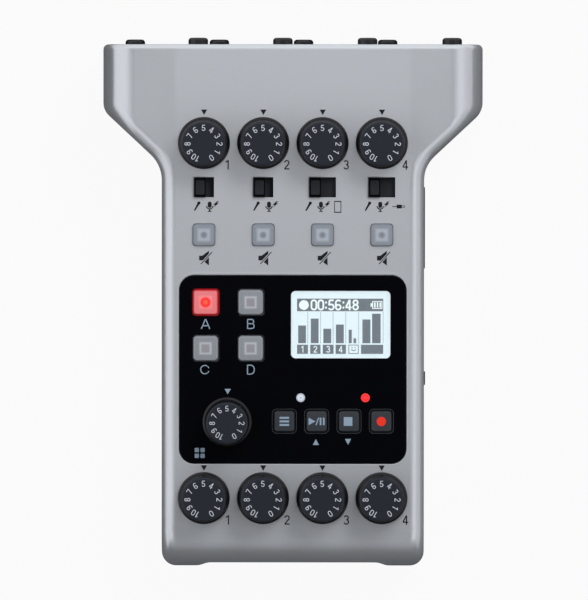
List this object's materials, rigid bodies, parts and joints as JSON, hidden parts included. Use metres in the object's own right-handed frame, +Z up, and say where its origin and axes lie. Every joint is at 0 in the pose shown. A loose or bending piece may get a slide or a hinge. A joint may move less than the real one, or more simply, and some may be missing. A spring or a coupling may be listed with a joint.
{
  "type": "podcast recorder",
  "caption": "Palm-sized podcast recorder with flared back for microphone sockets, rows of level knobs, sound pads and a small lit display on a glossy panel.",
  "frame": {"origin": "centre of the whole part's footprint, at the bottom of the rubber feet", "axes": "+Z up out of the table, +X to the right as the controls are read, +Y back towards the microphone sockets"},
  "size_m": [0.112, 0.156, 0.0469],
  "materials": {
    "silver_case": "satin silver paint on moulded plastic",
    "dark_tray": "fine grain",
    "black_rubber": "matt",
    "cell_jacket": "printed jacket, plain",
    "nickel": "plated",
    "black_gloss": "mirror gloss",
    "clear_window": "clear",
    "display_glass": "lit from behind",
    "clear_light": "frosted clear, lit white",
    "red_light": "frosted, lit red",
    "black_moulding": "plain",
    "board_green": "solder mask",
    "dark_screw": "black zinc",
    "dark_cap": "ribbed",
    "knob_black": "satin",
    "frosted_button": "translucent",
    "grey_pad": "translucent",
    "lit_pad": "translucent, lit red",
    "slate_button": "satin"
  },
  "bodies": {
    "case": {"upper_case": "silver_case", "lower_case": "dark_tray", "rubber_feet": "black_rubber", "batteries": "cell_jacket", "battery_contacts": "nickel", "display_panel": "black_gloss", "display_window": "clear_window", "lcd_module": "display_glass", "power_light": "clear_light", "record_light": "red_light", "potentiometers": "black_moulding", "slide_switch_bodies": "nickel", "key_switches": "black_moulding", "control_board": "board_green", "main_board": "board_green", "board_screws": "nickel", "board_connector": "black_moulding", "xlr_jack_1": "black_moulding", "xlr_jack_2": "black_moulding", "xlr_jack_3": "black_moulding", "xlr_jack_4": "black_moulding", "xlr_inserts": "black_moulding", "xlr_contacts": "nickel", "xlr_screws": "dark_screw", "case_screws": "dark_screw", "phones_jacks": "black_moulding", "phone_link_jack": "black_moulding", "usb_ports": "nickel", "card_socket": "nickel", "power_switch_body": "nickel"},
    "input_knob_1": {"input_knob_1": "knob_black"},
    "input_knob_2": {"input_knob_2": "knob_black"},
    "input_knob_3": {"input_knob_3": "knob_black"},
    "input_knob_4": {"input_knob_4": "knob_black"},
    "phones_knob_1": {"phones_knob_1": "knob_black"},
    "phones_knob_2": {"phones_knob_2": "knob_black"},
    "phones_knob_3": {"phones_knob_3": "knob_black"},
    "phones_knob_4": {"phones_knob_4": "knob_black"},
    "pad_knob": {"pad_knob": "knob_black"},
    "input_switch_1": {"input_switch_1": "dark_cap"},
    "input_switch_2": {"input_switch_2": "dark_cap"},
    "input_switch_3": {"input_switch_3": "dark_cap"},
    "input_switch_4": {"input_switch_4": "dark_cap"},
    "mute_button_1": {"mute_button_1": "frosted_button"},
    "mute_button_2": {"mute_button_2": "frosted_button"},
    "mute_button_3": {"mute_button_3": "frosted_button"},
    "mute_button_4": {"mute_button_4": "frosted_button"},
    "pad_button_a": {"pad_button_a": "lit_pad"},
    "pad_button_b": {"pad_button_b": "grey_pad"},
    "pad_button_c": {"pad_button_c": "grey_pad"},
    "pad_button_d": {"pad_button_d": "grey_pad"},
    "menu_button": {"menu_button": "slate_button"},
    "play_button": {"play_button": "slate_button"},
    "stop_button": {"stop_button": "slate_button"},
    "record_button": {"record_button": "slate_button"},
    "power_slider": {"power_slider": "dark_cap"},
    "memory_card": {"memory_card": "black_moulding"},
    "battery_cover": {"battery_cover": "dark_tray"}
  },
  "joints": [
    {"name": "input_knob_1_turn", "type": "hinge", "parent": "case", "child": "input_knob_1", "pos_m": [-0.02625, 0.04688, 0.03698], "axis": [0, -0.0454, 0.999], "range_deg": [-150, 150]},
    {"name": "input_knob_2_turn", "type": "hinge", "parent": "case", "child": "input_knob_2", "pos_m": [-0.00875, 0.04688, 0.03698], "axis": [0, -0.0454, 0.999], "range_deg": [-150, 150]},
    {"name": "input_knob_3_turn", "type": "hinge", "parent": "case", "child": "input_knob_3", "pos_m": [0.00875, 0.04688, 0.03698], "axis": [0, -0.0454, 0.999], "range_deg": [-150, 150]},
    {"name": "input_knob_4_turn", "type": "hinge", "parent": "case", "child": "input_knob_4", "pos_m": [0.02625, 0.04688, 0.03698], "axis": [0, -0.0454, 0.999], "range_deg": [-150, 150]},
    {"name": "phones_knob_1_turn", "type": "hinge", "parent": "case", "child": "phones_knob_1", "pos_m": [-0.02625, -0.05791, 0.03222], "axis": [0, -0.0454, 0.999], "range_deg": [-150, 150]},
    {"name": "phones_knob_2_turn", "type": "hinge", "parent": "case", "child": "phones_knob_2", "pos_m": [-0.00875, -0.05791, 0.03222], "axis": [0, -0.0454, 0.999], "range_deg": [-150, 150]},
    {"name": "phones_knob_3_turn", "type": "hinge", "parent": "case", "child": "phones_knob_3", "pos_m": [0.00875, -0.05791, 0.03222], "axis": [0, -0.0454, 0.999], "range_deg": [-150, 150]},
    {"name": "phones_knob_4_turn", "type": "hinge", "parent": "case", "child": "phones_knob_4", "pos_m": [0.02625, -0.05791, 0.03222], "axis": [0, -0.0454, 0.999], "range_deg": [-150, 150]},
    {"name": "pad_knob_turn", "type": "hinge", "parent": "case", "child": "pad_knob", "pos_m": [-0.01935, -0.03538, 0.03324], "axis": [0, -0.0454, 0.999], "range_deg": [-150, 150]},
    {"name": "input_switch_1_slide", "type": "slide", "parent": "case", "child": "input_switch_1", "axis": [1, 0, 0], "range_m": [0, 0.0022]},
    {"name": "input_switch_2_slide", "type": "slide", "parent": "case", "child": "input_switch_2", "axis": [1, 0, 0], "range_m": [0, 0.0022]},
    {"name": "input_switch_3_slide", "type": "slide", "parent": "case", "child": "input_switch_3", "axis": [1, 0, 0], "range_m": [0, 0.0042]},
    {"name": "input_switch_4_slide", "type": "slide", "parent": "case", "child": "input_switch_4", "axis": [1, 0, 0], "range_m": [0, 0.0042]},
    {"name": "mute_button_1_press", "type": "slide", "parent": "case", "child": "mute_button_1", "axis": [0, 0.0454, -0.999], "range_m": [0, 0.0008], "stiffness_N_per_m": 1000},
    {"name": "mute_button_2_press", "type": "slide", "parent": "case", "child": "mute_button_2", "axis": [0, 0.0454, -0.999], "range_m": [0, 0.0008], "stiffness_N_per_m": 1000},
    {"name": "mute_button_3_press", "type": "slide", "parent": "case", "child": "mute_button_3", "axis": [0, 0.0454, -0.999], "range_m": [0, 0.0008], "stiffness_N_per_m": 1000},
    {"name": "mute_button_4_press", "type": "slide", "parent": "case", "child": "mute_button_4", "axis": [0, 0.0454, -0.999], "range_m": [0, 0.0008], "stiffness_N_per_m": 1000},
    {"name": "pad_button_a_press", "type": "slide", "parent": "case", "child": "pad_button_a", "axis": [0, 0.0454, -0.999], "range_m": [0, 0.0008], "stiffness_N_per_m": 1000},
    {"name": "pad_button_b_press", "type": "slide", "parent": "case", "child": "pad_button_b", "axis": [0, 0.0454, -0.999], "range_m": [0, 0.0008], "stiffness_N_per_m": 1000},
    {"name": "pad_button_c_press", "type": "slide", "parent": "case", "child": "pad_button_c", "axis": [0, 0.0454, -0.999], "range_m": [0, 0.0008], "stiffness_N_per_m": 1000},
    {"name": "pad_button_d_press", "type": "slide", "parent": "case", "child": "pad_button_d", "axis": [0, 0.0454, -0.999], "range_m": [0, 0.0008], "stiffness_N_per_m": 1000},
    {"name": "menu_button_press", "type": "slide", "parent": "case", "child": "menu_button", "axis": [0, 0.0454, -0.999], "range_m": [0, 0.0008], "stiffness_N_per_m": 1000},
    {"name": "play_button_press", "type": "slide", "parent": "case", "child": "play_button", "axis": [0, 0.0454, -0.999], "range_m": [0, 0.0008], "stiffness_N_per_m": 1000},
    {"name": "stop_button_press", "type": "slide", "parent": "case", "child": "stop_button", "axis": [0, 0.0454, -0.999], "range_m": [0, 0.0008], "stiffness_N_per_m": 1000},
    {"name": "record_button_press", "type": "slide", "parent": "case", "child": "record_button", "axis": [0, 0.0454, -0.999], "range_m": [0, 0.0008], "stiffness_N_per_m": 1000},
    {"name": "power_slider_slide", "type": "slide", "parent": "case", "child": "power_slider", "axis": [0, -1, 0], "range_m": [0, 0.003]},
    {"name": "memory_card_draw", "type": "slide", "parent": "case", "child": "memory_card", "axis": [1, 0, 0], "range_m": [0, 0.028]},
    {"name": "battery_cover_swing", "type": "hinge", "parent": "case", "child": "battery_cover", "pos_m": [0, -0.0079, 0.0012], "axis": [1, 0, 0], "range_deg": [0, 80]}
  ]
}
